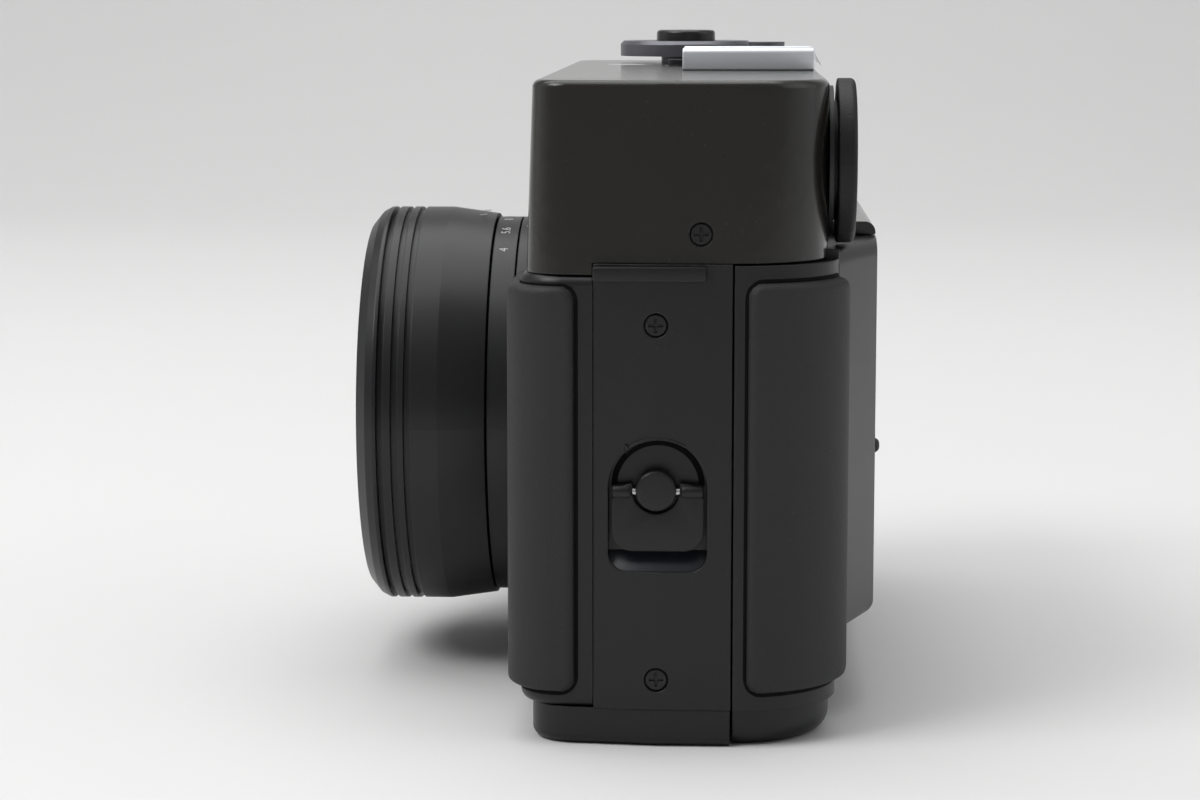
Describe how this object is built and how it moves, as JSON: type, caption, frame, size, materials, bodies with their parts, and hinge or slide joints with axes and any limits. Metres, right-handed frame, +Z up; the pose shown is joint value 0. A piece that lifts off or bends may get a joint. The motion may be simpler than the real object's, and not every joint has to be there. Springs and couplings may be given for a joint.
{
  "type": "medium-format rangefinder camera",
  "caption": "Roll-film rangefinder camera with a focusing lens, hinged film door, folding latch key, advance lever and accessory shoe.",
  "frame": {"origin": "mouth of the tripod socket in the base", "axes": "+Z up, -Y the way the lens looks, +X towards the viewer's left"},
  "size_m": [0.1488, 0.0855, 0.1062],
  "materials": {
    "die_cast": "black anodised casting",
    "body_plastic": "satin moulded",
    "top_paint": "satin warm black paint",
    "pad_rubber": "fine matt",
    "black_plastic": "matt",
    "lens_black": "satin black",
    "shutter_metal": "matt",
    "coated_glass": "coated",
    "window_glass": "clear",
    "frosted_glass": "frosted",
    "mirror_glass": "polished",
    "lamp_red": "clear red",
    "shoe_metal": "satin nickel",
    "contact_block": "matt with pins",
    "bright_steel": "turned",
    "brass_gear": "turned",
    "control_metal": "grey anodised",
    "button_black": "semi-gloss",
    "screw_black": "black oxide",
    "board_green": "solder mask",
    "battery_wrap": "printed sleeve, bare"
  },
  "bodies": {
    "body": {"base_cover": "body_plastic", "batteries": "battery_wrap", "body_frame": "die_cast", "circuit_board": "board_green", "counter_window": "window_glass", "cross_screws": "screw_black", "eye_lens": "coated_glass", "eyecup": "pad_rubber", "eyepiece": "black_plastic", "finder_body": "black_plastic", "finder_prism": "coated_glass", "finder_window": "window_glass", "front_pad": "pad_rubber", "front_shell": "body_plastic", "frosted_window": "frosted_glass", "hand_grip": "body_plastic", "hinge_pin": "bright_steel", "hinge_side_plate": "body_plastic", "hot_shoe": "shoe_metal", "latch_hub": "body_plastic", "latch_pin": "bright_steel", "lens_base": "lens_black", "mount_ring": "bright_steel", "range_mirror": "mirror_glass", "rangefinder_window": "window_glass", "shoe_contacts": "contact_block", "side_plate": "body_plastic", "strap_bars": "body_plastic", "timer_lamp": "lamp_red", "top_cover": "top_paint", "tripod_bush": "bright_steel"},
    "film_door": {"door_shell": "body_plastic", "door_pads": "pad_rubber", "door_stud": "black_plastic", "door_catch": "black_plastic", "plate_springs": "bright_steel"},
    "pressure_plate": {"pressure_plate": "black_plastic"},
    "latch_key": {"latch_key": "body_plastic"},
    "battery_cap": {"battery_cap": "black_plastic"},
    "lens_release": {"lens_release": "button_black"},
    "aperture_ring": {"aperture_ring": "lens_black"},
    "focus_ring": {"focus_ring": "lens_black"},
    "lens_cell": {"lens_cell": "lens_black", "front_ring": "lens_black", "leaf_shutter": "shutter_metal", "front_glass": "coated_glass", "rear_glass": "coated_glass"},
    "advance_lever": {"advance_lever": "control_metal", "lever_gear": "brass_gear"},
    "take_up": {"take_up_key": "bright_steel", "spool_pinion": "brass_gear", "take_up_spool": "black_plastic"},
    "shutter_button": {"shutter_button": "button_black"},
    "shutter_dial": {"shutter_dial": "control_metal"},
    "power_switch": {"power_switch": "black_plastic"},
    "counter_disc": {"counter_disc": "shutter_metal"},
    "film_roller_left": {"film_roller_left": "bright_steel"},
    "film_roller_right": {"film_roller_right": "bright_steel"},
    "supply_peg": {"supply_peg": "bright_steel"},
    "take_up_peg": {"take_up_peg": "bright_steel"}
  },
  "joints": [
    {"name": "film_door_hinge", "type": "hinge", "parent": "body", "child": "film_door", "pos_m": [-0.0715, 0.0056, 0.04], "axis": [0, 0, 1], "range_deg": [0, 95]},
    {"name": "pressure_plate_slide", "type": "slide", "parent": "film_door", "child": "pressure_plate", "axis": [0, 1, 0], "range_m": [0, 0.0012], "stiffness_N_per_m": 400, "springref_m": -0.003},
    {"name": "latch_key_fold", "type": "hinge", "parent": "body", "child": "latch_key", "pos_m": [0.0711, -0.0037, 0.03895], "axis": [0, -1, 0], "range_deg": [0, 90]},
    {"name": "battery_cap_turn", "type": "hinge", "parent": "body", "child": "battery_cap", "pos_m": [-0.0585, -0.0238, 0.003], "axis": [0, 0, 1], "range_deg": [0, 90]},
    {"name": "lens_release_press", "type": "slide", "parent": "body", "child": "lens_release", "axis": [0, 1, 0], "range_m": [0, 0.0016], "stiffness_N_per_m": 400, "springref_m": -0.002},
    {"name": "aperture_ring_turn", "type": "hinge", "parent": "body", "child": "aperture_ring", "pos_m": [0, -0.03, 0.0426], "axis": [0, 1, 0], "range_deg": [0, 75]},
    {"name": "focus_ring_turn", "type": "hinge", "parent": "body", "child": "focus_ring", "pos_m": [0, -0.04, 0.0426], "axis": [0, 1, 0], "range_deg": [0, 90]},
    {"name": "lens_cell_slide", "type": "slide", "parent": "body", "child": "lens_cell", "axis": [0, -1, 0], "range_m": [0, 0.004]},
    {"name": "advance_lever_stroke", "type": "hinge", "parent": "body", "child": "advance_lever", "pos_m": [-0.054, -0.0015, 0.1], "axis": [0, 0, 1], "range_deg": [0, 150], "stiffness_Nm_per_rad": 0.02, "springref_deg": -22.92},
    {"name": "take_up_turn", "type": "hinge", "parent": "body", "child": "take_up", "pos_m": [-0.041, 0.0015, 0.0426], "axis": [0, 0, 1], "range_deg": [-300, 0]},
    {"name": "shutter_button_press", "type": "slide", "parent": "body", "child": "shutter_button", "axis": [0, 0, -1], "range_m": [0, 0.0015], "stiffness_N_per_m": 300, "springref_m": -0.002},
    {"name": "shutter_dial_turn", "type": "hinge", "parent": "body", "child": "shutter_dial", "pos_m": [-0.024, 0.009, 0.1], "axis": [0, 0, 1], "range_deg": [-150, 150]},
    {"name": "power_switch_turn", "type": "hinge", "parent": "body", "child": "power_switch", "pos_m": [-0.024, 0.009, 0.1], "axis": [0, 0, 1], "range_deg": [-40, 0]},
    {"name": "counter_disc_turn", "type": "hinge", "parent": "body", "child": "counter_disc", "pos_m": [-0.033, -0.012, 0.097], "axis": [0, 0, 1], "range_deg": [-20, 0]},
    {"name": "film_roller_left_spin", "type": "hinge", "parent": "body", "child": "film_roller_left", "pos_m": [0.0256, 0.0139, 0.0426], "axis": [0, 0, 1], "continuous": true},
    {"name": "film_roller_right_spin", "type": "hinge", "parent": "body", "child": "film_roller_right", "pos_m": [-0.0256, 0.0139, 0.0426], "axis": [0, 0, 1], "continuous": true},
    {"name": "supply_peg_slide", "type": "slide", "parent": "body", "child": "supply_peg", "axis": [0, 0, -1], "range_m": [0, 0.003], "stiffness_N_per_m": 400, "springref_m": -0.003},
    {"name": "take_up_peg_slide", "type": "slide", "parent": "body", "child": "take_up_peg", "axis": [0, 0, -1], "range_m": [0, 0.003], "stiffness_N_per_m": 400, "springref_m": -0.003}
  ],
  "couplings": [
    {"joint": "lens_cell_slide", "follows": "focus_ring_turn", "m_per_rad": 0.0025465},
    {"joint": "take_up_turn", "follows": "advance_lever_stroke", "ratio": -2},
    {"joint": "counter_disc_turn", "follows": "advance_lever_stroke", "ratio": -0.13333}
  ]
}
